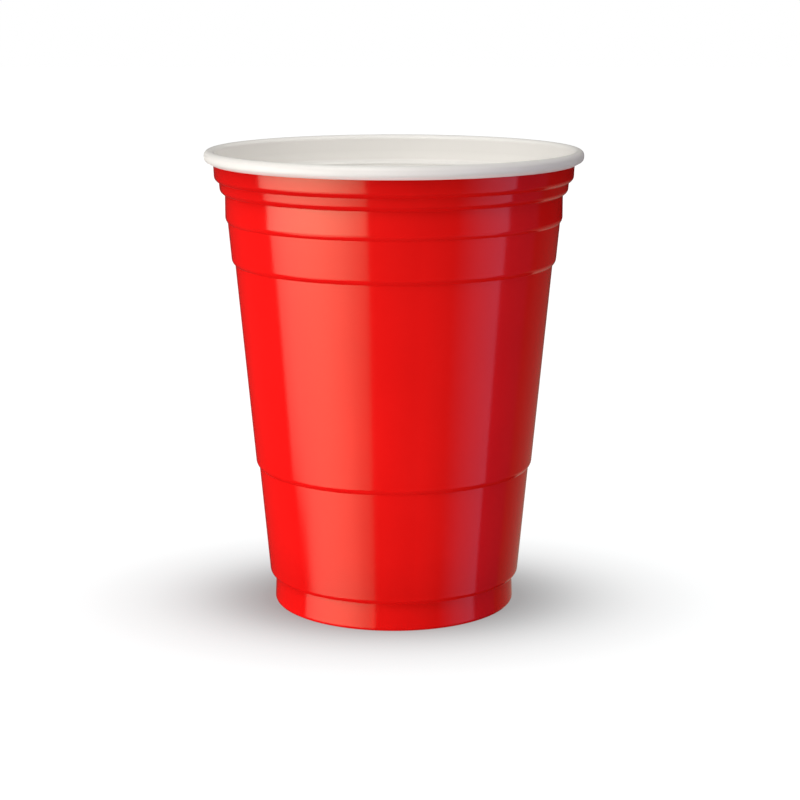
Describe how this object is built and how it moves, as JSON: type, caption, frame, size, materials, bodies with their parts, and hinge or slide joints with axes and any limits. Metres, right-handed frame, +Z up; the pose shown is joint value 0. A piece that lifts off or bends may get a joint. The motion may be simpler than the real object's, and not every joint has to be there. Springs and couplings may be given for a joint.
{
  "type": "plastic party cup",
  "caption": "Tapered round plastic party cup with stepped bands up its wall, a rolled rim and a raised floor inside a foot ring, red outside and white inside.",
  "frame": {"origin": "centre of the foot, on the surface that the cup stands on", "axes": "+Z up the cup's axis; the cup is round, so +X and +Y are any two directions across it, and the picture looks along +Y"},
  "size_m": [0.095, 0.095, 0.1164],
  "materials": {
    "red_plastic": "gloss, red outside and white on the inside and the rolled rim"
  },
  "bodies": {
    "root": {"cup": "red_plastic"}
  },
  "joints": []
}
